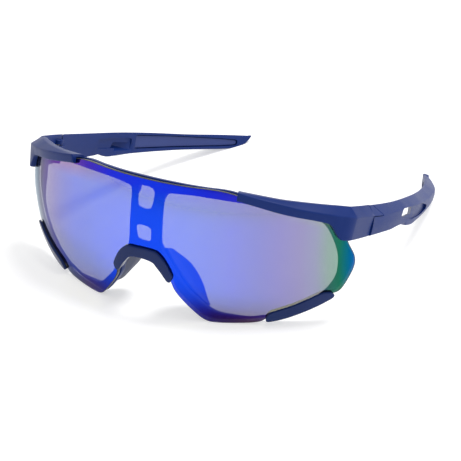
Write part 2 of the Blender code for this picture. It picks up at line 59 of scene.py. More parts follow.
# Lens and rim
LENS_RADIUS = 88.3
LENS_THICKNESS = 2.0
LENS_EDGE = 0.25
FIT_GAP = 0.3
CLEARANCE = 0.35
LENS_TOP = [
    (0.0, -1.8), (10.0, -1.7), (17.5, -1.4), (25.0, -0.9), (30.0, -0.8), (36.0, -1.5),
    (43.0, -2.5), (50.0, -3.1), (58.0, -3.8), (64.0, -5.0), (67.4, -7.6), (68.8, -11.5),
]
LENS_SIDE = [
    (69.7, -14.6), (70.8, -16.9), (71.3, -19.5), (71.0, -22.4), (69.7, -26.5), (67.9, -30.8),
    (66.2, -33.7), (63.7, -34.5), (62.2, -35.8), (59.3, -38.2), (53.3, -42.4), (47.4, -45.8),
    (44.9, -46.9), (42.9, -49.1), (38.7, -50.5), (33.5, -51.6), (28.2, -52.6), (25.0, -53.0),
    (22.8, -52.6), (21.2, -51.6), (17.9, -48.5), (14.6, -45.1), (12.0, -41.5), (11.9, -39.6),
    (10.0, -37.0), (7.9, -34.1), (6.3, -32.2), (4.8, -31.3), (0.0, -31.0),
]
RIM_FRONT = LENS_RADIUS - LENS_THICKNESS - FIT_GAP
RIM_BACK = 83.3
RIM_EDGE = 0.35
RIM_OVERLAP = 0.3
# Behind the lower clips the rim reaches further past the lens, and is thinner.
CLIP_OVERLAP = 2.2
CLIP_FROM = (44.0, -34.0)
THIN_BACK = 84.9
THIN_FROM = (30.0, -16.0)
THIN_FADE = (8.0, 10.0)
RIM_TOP = [
    (0.0, -1.25), (10.0, -1.2), (17.5, -1.05), (24.0, -0.8), (31.0, -0.4), (36.0, -1.0),
    (43.0, -2.0), (50.0, -2.7), (58.0, -3.5), (64.0, -4.8), (67.0, -7.8), (68.4, -11.7),
]
EYE_OPENING = [
    (7.0, -7.4), (8.7, -5.8), (16.9, -4.8), (24.3, -4.5), (38.2, -4.3), (46.0, -4.9), (54.0, -5.8),
    (60.2, -6.8), (62.1, -8.8), (64.1, -13.3), (65.4, -19.0), (65.0, -25.8), (63.4, -30.1),
    (60.3, -34.7), (53.6, -40.7), (45.6, -45.6), (38.2, -48.2), (30.0, -48.9), (26.0, -48.7),
    (23.4, -47.8), (16.2, -41.7), (12.0, -35.7), (8.6, -30.4), (7.0, -26.6),
]
UPPER_WINDOW = [
    (-3.1, -4.9), (2.4, -5.6), (2.6, -10.6), (1.4, -13.1),
    (-3.1, -13.1), (-4.1, -11.0), (-4.1, -5.8),
]
LOWER_WINDOW = [(-3.7, -20.3), (2.0, -20.3), (2.5, -23.4), (2.0, -25.5), (-2.7, -25.5), (-3.7, -23.8)]
COLUMN_BACK = 84.6
COLUMN_HALF = 10.0
COLUMN_TOP_Z = -7.0
COLUMN_BOTTOM_Z = -26.6
COLUMN_FADE = 1.5

# Clips
NOSE_CLIP_FRONT = LENS_RADIUS + 1.3
NOSE_CLIP_EDGE = 0.4
NOSE_CLIP_OUTER = [
    (0.0, -28.1), (5.2, -28.2), (7.0, -28.8), (9.0, -30.5), (10.2, -32.1), (11.8, -34.9), (12.6, -37.2),
]
NOSE_CLIP_INNER = [(11.0, -39.4), (8.1, -35.9), (6.2, -33.8), (4.9, -32.6), (0.0, -32.0)]
LOWER_CLIP_FRONT = LENS_RADIUS + 1.2
LOWER_CLIP_EDGE = 0.3
LOWER_CLIP = [
    (45.9, -44.7), (48.8, -43.0), (51.9, -41.2), (55.0, -39.2), (58.0, -37.0), (60.9, -34.7),
    (62.6, -33.7), (64.4, -33.3), (65.2, -33.9), (64.8, -35.1), (63.1, -36.8), (60.3, -39.2),
    (57.4, -41.4), (54.3, -43.5), (51.2, -45.4), (48.1, -47.0), (45.1, -48.2), (43.9, -48.4),
    (44.3, -47.0),
]

# Brow claws and endpieces
CREASE_RADIUS = LENS_RADIUS + 2.5
CORNER_FILLET = 8.0
CLAW_EDGE = 0.55
CLAW_DOME = 0.25
ENDPIECE_X = 71.5
ENDPIECE_END_Y = -38.3 - CLAW_DOME
# Stations on the arc: plan angle, lower edge, crease height, ridge run, ridge height, depth, inner edge.
CLAW_ARC = [
    (23.3, -3.2, 0.1, 1.6, 0.2, 7.5, -4.0),
    (28.3, -4.2, -1.0, 2.0, -0.1, 7.5, -4.1),
    (33.4, -5.3, -1.8, 2.5, -0.4, 7.5, -4.3),
    (38.1, -5.9, -2.6, 3.0, -0.4, 7.5, -4.9),
    (42.9, -6.3, -3.0, 3.3, -0.3, 7.5, -5.6),
    (46.2, -7.0, -3.2, 3.6, -0.2, 7.3, -6.6),
    (48.0, -9.8, -3.3, 3.9, -0.1, 6.9, -9.4),
    (49.3, -12.0, -3.3, 4.2, -0.1, 6.9, -11.6),
]
# Stations round the corner: lower edge, crease height, ridge run, ridge height, depth.
CORNER = [
    (-12.4, -3.3, 4.4, -0.1, 6.9), (-12.4, -3.3, 4.4, -0.1, 6.7), (-12.4, -3.35, 4.2, -0.05, 6.2),
    (-12.4, -3.4, 3.8, 0.0, 5.4), (-12.3, -3.4, 3.5, 0.0, 4.6),
]
# Stations on the straight part: y, lower edge, crease height, ridge run, ridge height, depth.
ENDPIECE = [
    (-49.0, -12.2, -3.45, 3.2, 0.0, 4.0), (-44.0, -12.0, -3.5, 2.8, 0.0, 3.5),
    (ENDPIECE_END_Y, -11.7, -3.6, 2.8, 0.0, 3.4),
]

# Hinges
HINGE_X = 68.2
HINGE_Y = -40.2
KNUCKLE_RADIUS = 2.1
BORE_RADIUS = 1.1
KNUCKLE_EDGE = 0.2
TEMPLE_ARM_HALF = 1.2
TEMPLE_ARM_REACH = 2.5
ENDPIECE_ARM = 1.9
ENDPIECE_ARM_REACH = 4.5
# Arms end short of the knuckles' faces and the swing room passes them, so that no two faces coincide.
ARM_INSET = 0.02
ROOM_OVERLAP = 0.03
THROUGH = (-14.0, 4.0)
KNUCKLE_TOP = (-3.9, -2.0)
KNUCKLE_MIDDLE = (-8.2, -4.25)
KNUCKLE_BOTTOM = (-11.5, -8.5)
SCREW_HEAD_RADIUS = 1.35
SCREW_HEAD_HEIGHT = 0.8
NUT_RADIUS = 1.35
NUT_HEIGHT = 1.1
NUT_ROOM_FROM = -5.0

# Temples
TEMPLE_START_Y = -38.0
TEMPLE_END_Y = 79.4
TEMPLE_BEND_Y = -35.0
TEMPLE_BEND_RADIUS = 258.0
TEMPLE_INNER_X = 68.4
TEMPLE_EDGE = 0.55
TEMPLE_DOME = 0.3
TEMPLE_TOP = [(-38.0, 0.0), (-20.0, -0.1), (10.0, 0.2), (20.0, 0.2), (43.0, 0.1), (67.0, 0.8), (80.0, 1.2)]
TEMPLE_BOTTOM = [
    (-38.0, -11.6), (-29.0, -11.0), (-19.0, -10.4), (-10.5, -9.6), (-8.0, -9.2), (-6.0, -9.8),
    (-1.5, -10.3), (6.0, -9.5), (19.0, -8.6), (31.0, -7.8), (43.0, -7.0), (54.0, -6.4),
    (67.0, -5.6), (74.0, -4.6), (77.5, -2.4), (79.4, 0.4),
]
TEMPLE_BOTTOM_OUTER = [
    (-38.0, -11.6), (-29.0, -11.0), (-19.0, -10.4), (-10.5, -9.5), (-4.0, -9.2), (0.0, -10.4),
    (6.0, -10.6), (13.0, -9.9), (19.0, -9.2), (31.0, -8.0), (43.0, -7.0), (54.0, -6.4),
    (67.0, -5.6), (74.0, -4.6), (77.5, -2.4), (79.4, 0.4),
]
TEMPLE_CREASE = [
    (-38.0, -3.7), (-30.0, -3.9), (-11.0, -3.0), (-5.0, -2.5), (30.0, -2.4), (60.0, -1.6), (80.0, 0.2),
]
TEMPLE_THICKNESS = [
    (-38.0, 3.1), (-20.0, 3.6), (0.0, 3.9), (40.0, 4.7), (58.0, 5.2), (72.0, 3.9), (80.0, 2.4),
]
POCKET_EDGE = 0.3
POCKET_CORNER = 0.9
POCKET_MOUTH = -2.0
FRONT_POCKET = [(-10.0, -6.9), (2.0, -6.6), (12.5, -7.0), (12.5, -2.2), (2.0, -2.3), (-10.0, -2.6)]
FRONT_POCKET_DEPTH = 0.6
REAR_POCKET = [
    (15.0, -6.9), (28.0, -6.4), (40.0, -5.8), (52.0, -5.2), (64.0, -4.5), (73.0, -3.6),
    (73.0, -1.1), (64.0, -0.9), (52.0, -0.9), (40.0, -0.8), (28.0, -0.9), (15.0, -0.9),
]
REAR_POCKET_DEPTH = 1.5
GRIP_RECESS = 0.5
VENT_RECESS = [
    (-9.5, -6.6), (4.0, -8.2), (20.0, -7.6), (30.0, -6.2),
    (30.0, -4.8), (20.0, -3.2), (4.0, -2.9), (-9.5, -3.2),
]
VENT_RECESS_DEPTH = 0.6
VENT_OUTER = [(-8.6, -6.4), (3.7, -5.9), (3.7, -3.0), (-6.9, -3.0)]
VENT_INNER = [(-0.4, -7.6), (12.0, -7.2), (12.0, -4.2), (1.3, -4.2)]
VENT_LEVELS = (3.3, 0.6)
VENT_PAST = 1.6
VENT_CORNER = 0.8
TONGUE_BACK_Y = -30.0
TONGUE_UNDERSIDE = -3.9
TONGUE_STATIONS = (-38.6, -28.0, 12)

# Nose pads
PAD_FRONT = RIM_BACK - FIT_GAP
PAD_SEAT = 2.4
PAD_WALL = 1.6
PAD_EDGE = 0.7
PAD_DOME = 0.5
# Stations down the pad: x, z, depth behind the rim, flare, drop.
PAD_STATIONS = [
    (5.9, -29.6, 6.5, 0.3, -0.8), (6.9, -32.0, 10.2, 0.4, -0.8), (8.3, -34.4, 12.2, 0.9, -0.6),
    (10.2, -37.3, 13.3, 0.9, -0.4), (12.4, -40.6, 12.9, 1.0, -0.4), (14.8, -44.0, 10.8, 1.1, -0.4),
    (17.0, -46.4, 8.6, 0.6, -0.4), (19.2, -48.6, 6.2, 0.0, -0.3), (21.3, -50.2, 3.4, 0.0, -0.3),
]


# ---------------------------------------------------------------- shapes

def linked_object(name, shape):
    """Object in the scene that holds a bmesh as it is."""
    mesh = bpy.data.meshes.new(name)
    shape.to_mesh(mesh)
    shape.free()
    item = bpy.data.objects.new(name, mesh)
    bpy.context.scene.collection.objects.link(item)
    return item


def new_object(name, shape, smooth_angle=SMOOTH_DEG):
    """Object in the row frame from a bmesh in millimetres, faces out, shaded smooth."""
    bmesh.ops.recalc_face_normals(shape, faces=shape.faces[:])
    bmesh.ops.transform(shape, matrix=TO_ROW, verts=shape.verts[:])
    item = linked_object(name, shape)
    item.data.shade_smooth()
    item.data.set_sharp_from_angle(angle=math.radians(smooth_angle))
    return item


def combine(target, other, operation):
    """Apply an exact boolean to target and remove the other object."""
    modifier = target.modifiers.new(operation.lower(), "BOOLEAN")
    modifier.solver = "EXACT"
    modifier.operation = operation
    modifier.object = other
    bpy.context.view_layer.update()
    graph = bpy.context.evaluated_depsgraph_get()
    result = bpy.data.meshes.new_from_object(target.evaluated_get(graph))
    target.modifiers.clear()
    target.data = result
    bpy.data.objects.remove(other, do_unlink=True)
    result.shade_smooth()
    result.set_sharp_from_angle(angle=math.radians(SMOOTH_DEG))
    return target


def mirrored(item, name):
    """Copy of an object on the other side of the centre plane."""
    shape = bmesh.new()
    shape.from_mesh(item.data)
    bmesh.ops.scale(shape, vec=(-1.0, 1.0, 1.0), verts=shape.verts[:])
    bmesh.ops.reverse_faces(shape, faces=shape.faces[:])
    return linked_object(name, shape)


def both_sides(half):
    """Close a half outline that starts and ends on the centre line."""
    return half + [(-x, z) for x, z in reversed(half) if x > 0.0]


def curve_point(before, start, end, after, t):
    """Point at t on a Catmull-Rom stretch from start to end."""
    return 0.5 * (
        2.0 * start + (end - before) * t + (2.0 * before - 5.0 * start + 4.0 * end - after) * t * t
        + (3.0 * start - before - 3.0 * end + after) * t ** 3
    )


def smooth_loop(points, spacing=0.8, relax=6):
    """Dense even closed curve through the points of an outline, with small waves relaxed out."""
    corners = np.array(points)
    count = len(corners)
    fine = []
    for i in range(count):
        four = [corners[(i + k) % count] for k in (-1, 0, 1, 2)]
        fine += [curve_point(*four, t) for t in np.linspace(0.0, 1.0, 12, endpoint=False)]
    fine = np.array(fine)
    closed = np.vstack([fine, fine[:1]])
    travel = np.concatenate([[0.0], np.cumsum(np.linalg.norm(np.diff(closed, axis=0), axis=1))])
    stops = np.linspace(0.0, travel[-1], max(12, int(travel[-1] / spacing)), endpoint=False)
    loop = np.stack([np.interp(stops, travel, closed[:, k]) for k in (0, 1)], axis=1)
    for _ in range(relax):
        loop = 0.5 * loop + 0.25 * (np.roll(loop, 1, axis=0) + np.roll(loop, -1, axis=0))
    return loop


def loop_normals(loop):
    """Unit normals that point out of the area inside a closed loop."""
    step = np.roll(loop, -1, axis=0) - np.roll(loop, 1, axis=0)
    normals = np.stack([step[:, 1], -step[:, 0]], axis=1)
    normals /= np.linalg.norm(normals, axis=1)[:, None]
    after = np.roll(loop, -1, axis=0)
    area = np.sum(loop[:, 0] * after[:, 1] - after[:, 0] * loop[:, 1])
    return normals if area > 0.0 else -normals


def inside(points, loop):
    """True for each point inside a closed loop."""
    x, z = points[:, :1], points[:, 1:]
    a, b = loop, np.roll(loop, -1, axis=0)
    crosses = (a[:, 1] > z) != (b[:, 1] > z)
    rise = np.where(b[:, 1] == a[:, 1], 1.0, b[:, 1] - a[:, 1])
    at = a[:, 0] + (z - a[:, 1]) * (b[:, 0] - a[:, 0]) / rise
    return (crosses & (x < at)).sum(axis=1) % 2 == 1


def distance(points, loop):
    """Distance from each point to the nearest corner of a loop."""
    return np.sqrt(((points[:, None, :] - loop[None, :, :]) ** 2).sum(axis=2)).min(axis=1)


def enclosed(spots, cells, walls, caps):
    """Cells reached from the largest cell inside the outline without crossing a wall."""
    corners = spots[cells]
    middle = corners.mean(axis=1)
    side, other = corners[:, 1] - corners[:, 0], corners[:, 2] - corners[:, 0]
    area = np.abs(side[:, 0] * other[:, 1] - side[:, 1] * other[:, 0])
    fits = inside(middle, caps[0])
    for hole in caps[1:]:
        fits &= ~inside(middle, hole)
    sharing = {}
    for i, cell in enumerate(cells):
        for k in range(3):
            sharing.setdefault(frozenset((cell[k], cell[k - 1])), []).append(i)
    reached = {int(np.argmax(np.where(fits, area, 0.0)))}
    front = list(reached)
    while front:
        cell = cells[front.pop()]
        for k in range(3):
            edge = frozenset((cell[k], cell[k - 1]))
            if edge not in walls:
                fresh = [i for i in sharing[edge] if i not in reached]
                reached.update(fresh)
                front += fresh
    return sorted(reached)


def cap_points(caps, spacing):
    """Points on the loops and on a triangular grid between them."""
    corner, far = caps[0].min(axis=0), caps[0].max(axis=0)
    rows = np.arange(corner[1], far[1], spacing * 0.866)
    grid = np.array([
        (a + (0.5 * spacing if k % 2 else 0.0), b)
        for k, b in enumerate(rows) for a in np.arange(corner[0], far[0], spacing)
    ])
    keep = inside(grid, caps[0])
    for hole in caps[1:]:
        keep &= ~inside(grid, hole)
    for cap in caps:
        keep &= distance(grid, cap) > 0.45 * spacing
    return np.vstack(caps + [grid[keep]])


def cap_cells(caps, spacing):
    """Points, triangles between the loops, and where in the points each loop point has gone."""
    flat = cap_points(caps, spacing)
    edges = []
    start = 0
    for cap in caps:
        edges += [(start + i, start + (i + 1) % len(cap)) for i in range(len(cap))]
        start += len(cap)
    found = delaunay_2d_cdt([Vector(p) for p in flat], edges, [], 0, 1e-6)
    spots = np.array([tuple(v) for v in found[0]])
    cells = np.array([cell for cell in found[2]])
    walls = {frozenset(edge) for edge, sources in zip(found[1], found[4]) if sources}
    where = {source: i for i, sources in enumerate(found[3]) for source in sources}
    return spots, cells[enclosed(spots, cells, walls, caps)], where


def outline_weights(spots, caps):
    """1 on the outline and 0 on a hole; 1 everywhere where there are no holes."""
    if len(caps) == 1:
        return np.ones(len(spots))
    to_outline = distance(spots, caps[0])
    to_hole = np.min([distance(spots, cap) for cap in caps[1:]], axis=0)
    return to_hole / np.maximum(to_hole + to_outline, 1e-9)


def plate(name, outline, holes, place, low, high, rounding, spacing=2.5, steps=4):
    """Plate between two levels with rounded edges. place(a, b, level, weight) gives a 3-D point, where
    weight is 1 on the outline and 0 on a hole. low(a, b) is the lower level. Material slots: 0 for the
    high face, 1 for the low face and 2 for the edges."""
    loops = [outline] + holes
    outward = [loop_normals(outline)] + [-loop_normals(hole) for hole in holes]
    caps = [loop - normal * rounding for loop, normal in zip(loops, outward)]
    spots, cells, where = cap_cells(caps, spacing)
    weight = outline_weights(spots, caps)
    shape = bmesh.new()
    top = [shape.verts.new(place(a, b, high, w)) for (a, b), w in zip(spots, weight)]
    under = [shape.verts.new(place(a, b, low(a, b), w)) for (a, b), w in zip(spots, weight)]
    for cell in cells:
        shape.faces.new([top[i] for i in cell]).material_index = 0
        shape.faces.new([under[i] for i in reversed(cell)]).material_index = 1
    first = 0
    turns = [0.5 * math.pi * step / steps for step in range(1, steps + 1)]
    for k, (cap, normal) in enumerate(zip(caps, outward)):
        side = 1.0 if k == 0 else 0.0
        index = [where[first + i] for i in range(len(cap))]
        first += len(cap)
        rings = [[top[i] for i in index]]
        for turn in turns:
            ring = cap + normal * rounding * math.sin(turn)
            drop = rounding * (1.0 - math.cos(turn))
            rings.append([shape.verts.new(place(a, b, high - drop, side)) for a, b in ring])
        for turn in reversed(turns):
            ring = cap + normal * rounding * math.sin(turn)
            drop = rounding * (1.0 - math.cos(turn))
            rings.append([shape.verts.new(place(a, b, low(a, b) + drop, side)) for a, b in ring])
        rings.append([under[i] for i in index])
        for ring, following in zip(rings, rings[1:]):
            for i in range(len(ring)):
                j = (i + 1) % len(ring)
                shape.faces.new((ring[i], ring[j], following[j], following[i])).material_index = 2
    bmesh.ops.delete(shape, geom=[v for v in shape.verts if not v.link_faces], context="VERTS")
    return new_object(name, shape, 40.0)


def on_sphere(a, b, level, weight=1.0, reference=LENS_RADIUS):
    """Point at this radius: in the direction of (a, b) on the reference sphere for weight 1, and
    straight behind it along y for weight 0."""
    scale = 1.0 + weight * (level / reference - 1.0)
    x, z = a * scale, b * scale
    return Vector((x, -math.sqrt(level ** 2 - x * x - z * z), z))


def loft(name, rings, smooth_angle=SMOOTH_DEG):
    """Closed solid through rings that all have the same number of points."""
    shape = bmesh.new()
    rows = [[shape.verts.new(point) for point in ring] for ring in rings]
    count = len(rows[0])
    for row, following in zip(rows, rows[1:]):
        for i in range(count):
            j = (i + 1) % count
            shape.faces.new((row[i], row[j], following[j], following[i]))
    shape.faces.new(rows[0])
    shape.faces.new(list(reversed(rows[-1])))
    return new_object(name, shape, smooth_angle)


def rounded(points, radius, steps=4):
    """Closed polygon with its corners turned into short curves."""
    result = []
    for i, here in enumerate(points):
        before, after = points[i - 1], points[(i + 1) % len(points)]
        start = here + (before - here) * min(0.45, radius / max((before - here).length, 1e-6))
        end = here + (after - here) * min(0.45, radius / max((after - here).length, 1e-6))
        for k in range(steps):
            t = k / (steps - 1)
            result.append(start * (1 - t) ** 2 + here * 2 * t * (1 - t) + end * t * t)
    return result


def between_rings(rings, steps):
    """Smooth run of rings through the given ones."""
    padded = [rings[0]] + rings + [rings[-1]]
    run = []
    for i in range(1, len(padded) - 2):
        for k in range(steps):
            t = k / steps
            run.append([curve_point(*four, t) for four in zip(*padded[i - 1:i + 3])])
    run.append(rings[-1])
    return run


def domed_ends(rings, bulge):
    """Add two shrinking rings at each end so that the end faces have rounded edges."""
    def cap(ring, neighbour):
        middle = sum(ring, Vector()) / len(ring)
        inner = sum(neighbour, Vector()) / len(neighbour)
        way = (middle - inner).normalized() * bulge
        size = sum((p - middle).length for p in ring) / len(ring)
        steps = [(1.0 - 0.3 * bulge / size, 0.7), (1.0 - bulge / size, 1.0)]
        return [[middle + (p - middle) * shrink + way * move for p in ring] for shrink, move in steps]
    first = cap(rings[0], rings[1])
    last = cap(rings[-1], rings[-2])
    return list(reversed(first)) + rings + last


def cylinder(name, x, y, z_low, z_high, radius, chamfer=0.0, sides=48):
    """Upright cylinder with chamfered ends."""
    angles = [2.0 * math.pi * k / sides for k in range(sides)]
    levels = [(z_low, radius), (z_high, radius)]
    if chamfer > 0.0:
        levels = [
            (z_low, radius - chamfer), (z_low + chamfer, radius),
            (z_high - chamfer, radius), (z_high, radius - chamfer),
        ]
    rings = [[Vector((x + r * math.cos(a), y + r * math.sin(a), z)) for a in angles] for z, r in levels]
    return loft(name, rings, 50.0)


def block(name, low, high):
    """Box between two corners, with sharp edges."""
    corners = [(low[0], low[1]), (high[0], low[1]), (high[0], high[1]), (low[0], high[1])]
    return loft(name, [[Vector((x, y, z)) for x, y in corners] for z in (low[2], high[2])])


def stand_on_floor(item):
    """Cut away what would reach below the surface the glasses stand on."""
    shape = bmesh.new()
    bmesh.ops.create_cube(shape, size=1.0)
    bmesh.ops.scale(shape, vec=(0.3, 0.3, 0.04), verts=shape.verts[:])
    bmesh.ops.translate(shape, vec=(0.0, 0.0, -0.02), verts=shape.verts[:])
    return combine(item, linked_object("below_floor", shape), "DIFFERENCE")


# ---------------------------------------------------------------- lens, rim and clips

def lens_outline(grow=0.0):
    """Lens seen from the front as x and z on its outer sphere, optionally larger all round."""
    loop = smooth_loop(both_sides(LENS_TOP + LENS_SIDE))
    return loop + loop_normals(loop) * grow


def lens_clearance():
    """Cutter for the room the lens needs in the pieces that hold its edge."""
    outline = lens_outline(CLEARANCE)
    back, front = RIM_FRONT - 0.1, LENS_RADIUS + FIT_GAP
    return plate("lens_room", outline, [], on_sphere, lambda a, b: back, front, 0.05, 4.0, 1)


def shield_lens():
    """The lens: mirror on the front face, tint on the back face, and its ground edge."""
    back, front = LENS_RADIUS - LENS_THICKNESS, LENS_RADIUS
    return plate("shield_lens_v", lens_outline(), [], on_sphere, lambda a, b: back, front, LENS_EDGE, 2.2)


def rim_place(a, b, level, weight):
    """Rim point: its outline follows the lens's radii and its openings are cut straight back."""
    return on_sphere(a, b, level, weight, RIM_FRONT)


def fade(value, width):
    """0 up to zero, 1 from width on, and straight in between."""
    return min(max(value / width, 0.0), 1.0)


def rim_back(a, b):
    """Radius of the rim's back, thinner behind the lower clips and along the nose column."""
    thin = fade(abs(a) - THIN_FROM[0], THIN_FADE[0]) * fade(THIN_FROM[1] - b, THIN_FADE[1])
    back = RIM_BACK + (THIN_BACK - RIM_BACK) * thin
    across = fade(COLUMN_HALF - abs(a), COLUMN_FADE)
    along = fade(COLUMN_TOP_Z - b, COLUMN_FADE) * fade(b - COLUMN_BOTTOM_Z, COLUMN_FADE)
    return back + (COLUMN_BACK - back) * across * along


def rim():
    """Rim and nose column behind the lens, with the two eye openings and the two windows."""
    lens_points = np.array(both_sides(LENS_TOP + LENS_SIDE))
    behind_clip = (np.abs(lens_points[:, :1]) > CLIP_FROM[0]) & (lens_points[:, 1:] < CLIP_FROM[1])
    overlap = np.where(behind_clip, CLIP_OVERLAP, RIM_OVERLAP)
    grown = lens_points + loop_normals(lens_points) * overlap
    half = RIM_TOP + [tuple(p) for p in grown[len(LENS_TOP):len(LENS_TOP) + len(LENS_SIDE)]]
    half[-1] = (0.0, half[-1][1])
    outline = smooth_loop(both_sides(half)) * (RIM_FRONT / LENS_RADIUS)
    holes = [smooth_loop([(sign * x, z) for x, z in EYE_OPENING]) for sign in (1.0, -1.0)]
    holes += [smooth_loop(window, 0.4, 3) for window in (UPPER_WINDOW, LOWER_WINDOW)]
    return plate("rim_v", outline, holes, rim_place, rim_back, RIM_FRONT, RIM_EDGE, 1.6)


def front_band(name, outline, front_radius, rounding):
    """Band clipped over the lens's edge, with the lens's own shape cut out of it."""
    back = RIM_FRONT + FIT_GAP
    band = plate(name, outline, [], on_sphere, lambda a, b: back, front_radius, rounding, 1.2)
    return combine(band, lens_clearance(), "DIFFERENCE")


# ---------------------------------------------------------------- brow, endpieces and hinges

def claw_ring(place, normal, low, crease, run, ridge, depth, inner_low):
    """Section of the brow at a place on its outer crease, seen along the brow."""
    flat = run + 0.6 * (depth - run)
    offsets = [
        (-0.9, low), (-0.1, crease - 0.8), (0.0, crease), (-run, ridge), (-flat, ridge),
        (-depth, ridge - 0.9), (-depth, inner_low), (-1.8, low - 0.1),
    ]
    return [Vector((place[0] + u * normal[0], place[1] + u * normal[1], z)) for u, z in offsets]


def brow_claw(name):
    """Brow over the lens's upper edge, round the corner and back to the hinge, on the +X side."""
    rings = []
    for angle, low, crease, run, ridge, depth, inner_low in CLAW_ARC:
        normal = (math.sin(math.radians(angle)), -math.cos(math.radians(angle)))
        place = (CREASE_RADIUS * normal[0], CREASE_RADIUS * normal[1])
        rings.append(claw_ring(place, normal, low, crease, run, ridge, depth, inner_low))
    centre_x = ENDPIECE_X - CORNER_FILLET
    reach = CREASE_RADIUS - CORNER_FILLET
    centre_y = -math.sqrt(reach ** 2 - centre_x ** 2)
    start = math.degrees(math.asin(centre_x / reach))
    for k, (low, crease, run, ridge, depth) in enumerate(CORNER):
        angle = math.radians(start + (90.0 - start) * k / (len(CORNER) - 1))
        normal = (math.sin(angle), -math.cos(angle))
        place = (centre_x + CORNER_FILLET * normal[0], centre_y + CORNER_FILLET * normal[1])
        rings.append(claw_ring(place, normal, low, crease, run, ridge, depth, low + 0.1))
    for y, low, crease, run, ridge, depth in ENDPIECE:
        rings.append(claw_ring((ENDPIECE_X, y), (1.0, 0.0), low, crease, run, ridge, depth, low))
    fine = [rounded(ring, CLAW_EDGE, 5) for ring in between_rings(rings, 5)]
    return loft(name, domed_ends(fine, CLAW_DOME))


def smooth_value(points, y):
    """Value at y on a smooth curve through (y, value) points, without overshoot."""
    ys = [p[0] for p in points]
    vs = [p[1] for p in points]
    if y <= ys[0]:
        return vs[0]
    for i in range(len(ys) - 1):
        if y <= ys[i + 1]:
            width = ys[i + 1] - ys[i]
            t = (y - ys[i]) / width
            slope = (vs[i + 1] - vs[i]) / width
            before = slope if i == 0 else (vs[i] - vs[i - 1]) / (ys[i] - ys[i - 1])
            after = slope if i + 2 >= len(ys) else (vs[i + 2] - vs[i + 1]) / (ys[i + 2] - ys[i + 1])
            m0 = 0.0 if before * slope <= 0.0 else 2.0 * before * slope / (before + slope)
            m1 = 0.0 if after * slope <= 0.0 else 2.0 * after * slope / (after + slope)
            return (
                vs[i] * (2 * t ** 3 - 3 * t * t + 1) + vs[i + 1] * (3 * t * t - 2 * t ** 3)
                + width * (m0 * (t ** 3 - 2 * t * t + t) + m1 * (t ** 3 - t * t))
            )
    return vs[-1]


def temple_point(y, outward, z):
    """Point at this y on the +X temple's inner face, moved outward along the face's normal."""
    if y < TEMPLE_BEND_Y:
        return Vector((TEMPLE_INNER_X + outward, y, z))
    bend = math.asin((y - TEMPLE_BEND_Y) / TEMPLE_BEND_RADIUS)
    x = TEMPLE_INNER_X - TEMPLE_BEND_RADIUS * (1.0 - math.cos(bend))
    return Vector((x + outward * math.cos(bend), y + outward * math.sin(bend), z))


def temple_place(a, b, level, weight):
    """Same as temple_point, in the form that plate() asks for."""
    return temple_point(a, level, b)


def temple_ring(y):
    """Section of the temple at this y, with the crease between its top bevel and its outer face."""
    top = smooth_value(TEMPLE_TOP, y)
    bottom = smooth_value(TEMPLE_BOTTOM, y)
    outer = smooth_value(TEMPLE_BOTTOM_OUTER, y)
    crease = max(smooth_value(TEMPLE_CREASE, y), bottom + 0.4)
    thick = smooth_value(TEMPLE_THICKNESS, y)
    section = [
        (0.0, bottom + 0.2), (0.0, top - 0.3), (0.5, top), (thick, crease),
        (thick + 0.1, 0.5 * (crease + bottom)), (thick - 0.2, outer + 0.3), (thick - 0.8, outer),
        (0.6, bottom),
    ]
    return [temple_point(y, u, z) for u, z in section]


def tongue_zone(name, margin):
    """Space of the endpiece's tongue over the temple's front end, grown by a margin."""
    back = TONGUE_BACK_Y + 2.4 * margin
    plan = [
        (TEMPLE_INNER_X - 2.0, TEMPLE_START_Y - 6.0), (ENDPIECE_X + 3.0, TEMPLE_START_Y - 6.0),
        (ENDPIECE_X + 3.0, back + 4.0), (ENDPIECE_X, back),
        (TEMPLE_INNER_X - 2.0, TEMPLE_START_Y - 4.4 + 2.4 * margin),
    ]
    return loft(name, [[Vector((x, y, z)) for x, y in plan] for z in (TONGUE_UNDERSIDE - margin, 4.0)])


def drill_hinge(item, radius, low, high):
    """Cut a round hole on the hinge axis."""
    return combine(item, cylinder("bore", HINGE_X, HINGE_Y, low, high, radius), "DIFFERENCE")


def endpiece(name):
    """Brow claw with its tongue and its two hinge knuckles, drilled for the screw and the nut."""
    body = brow_claw(name)
    combine(body, lens_clearance(), "DIFFERENCE")
    stations = np.linspace(*TONGUE_STATIONS)
    tongue = loft("tongue", [rounded(temple_ring(y), 0.4) for y in stations])
    combine(tongue, tongue_zone("tongue_zone", 0.0), "INTERSECT")
    combine(body, tongue, "UNION")
    low, high = KNUCKLE_BOTTOM[1] - ROOM_OVERLAP, KNUCKLE_TOP[0] + ROOM_OVERLAP
    room = cylinder("swing_room", HINGE_X, HINGE_Y, low, high, KNUCKLE_RADIUS + FIT_GAP)
    combine(body, room, "DIFFERENCE")
    for low, high in (KNUCKLE_TOP, KNUCKLE_BOTTOM):
        knuckle = cylinder("knuckle", HINGE_X, HINGE_Y, low, high, KNUCKLE_RADIUS, KNUCKLE_EDGE)
        arm_low = (HINGE_X, HINGE_Y - ENDPIECE_ARM_REACH, low + ARM_INSET)
        arm = block("arm", arm_low, (HINGE_X + ENDPIECE_ARM, HINGE_Y, high - ARM_INSET))
        combine(knuckle, arm, "UNION")
        combine(body, knuckle, "UNION")
    drill_hinge(body, BORE_RADIUS, THROUGH[0], KNUCKLE_TOP[0] + NUT_HEIGHT + 0.6)
    drill_hinge(body, SCREW_HEAD_RADIUS + FIT_GAP, THROUGH[0], KNUCKLE_BOTTOM[0] + SCREW_HEAD_HEIGHT)
    return drill_hinge(body, NUT_RADIUS + FIT_GAP, NUT_ROOM_FROM, KNUCKLE_TOP[0] + NUT_HEIGHT)


# ---------------------------------------------------------------- temples

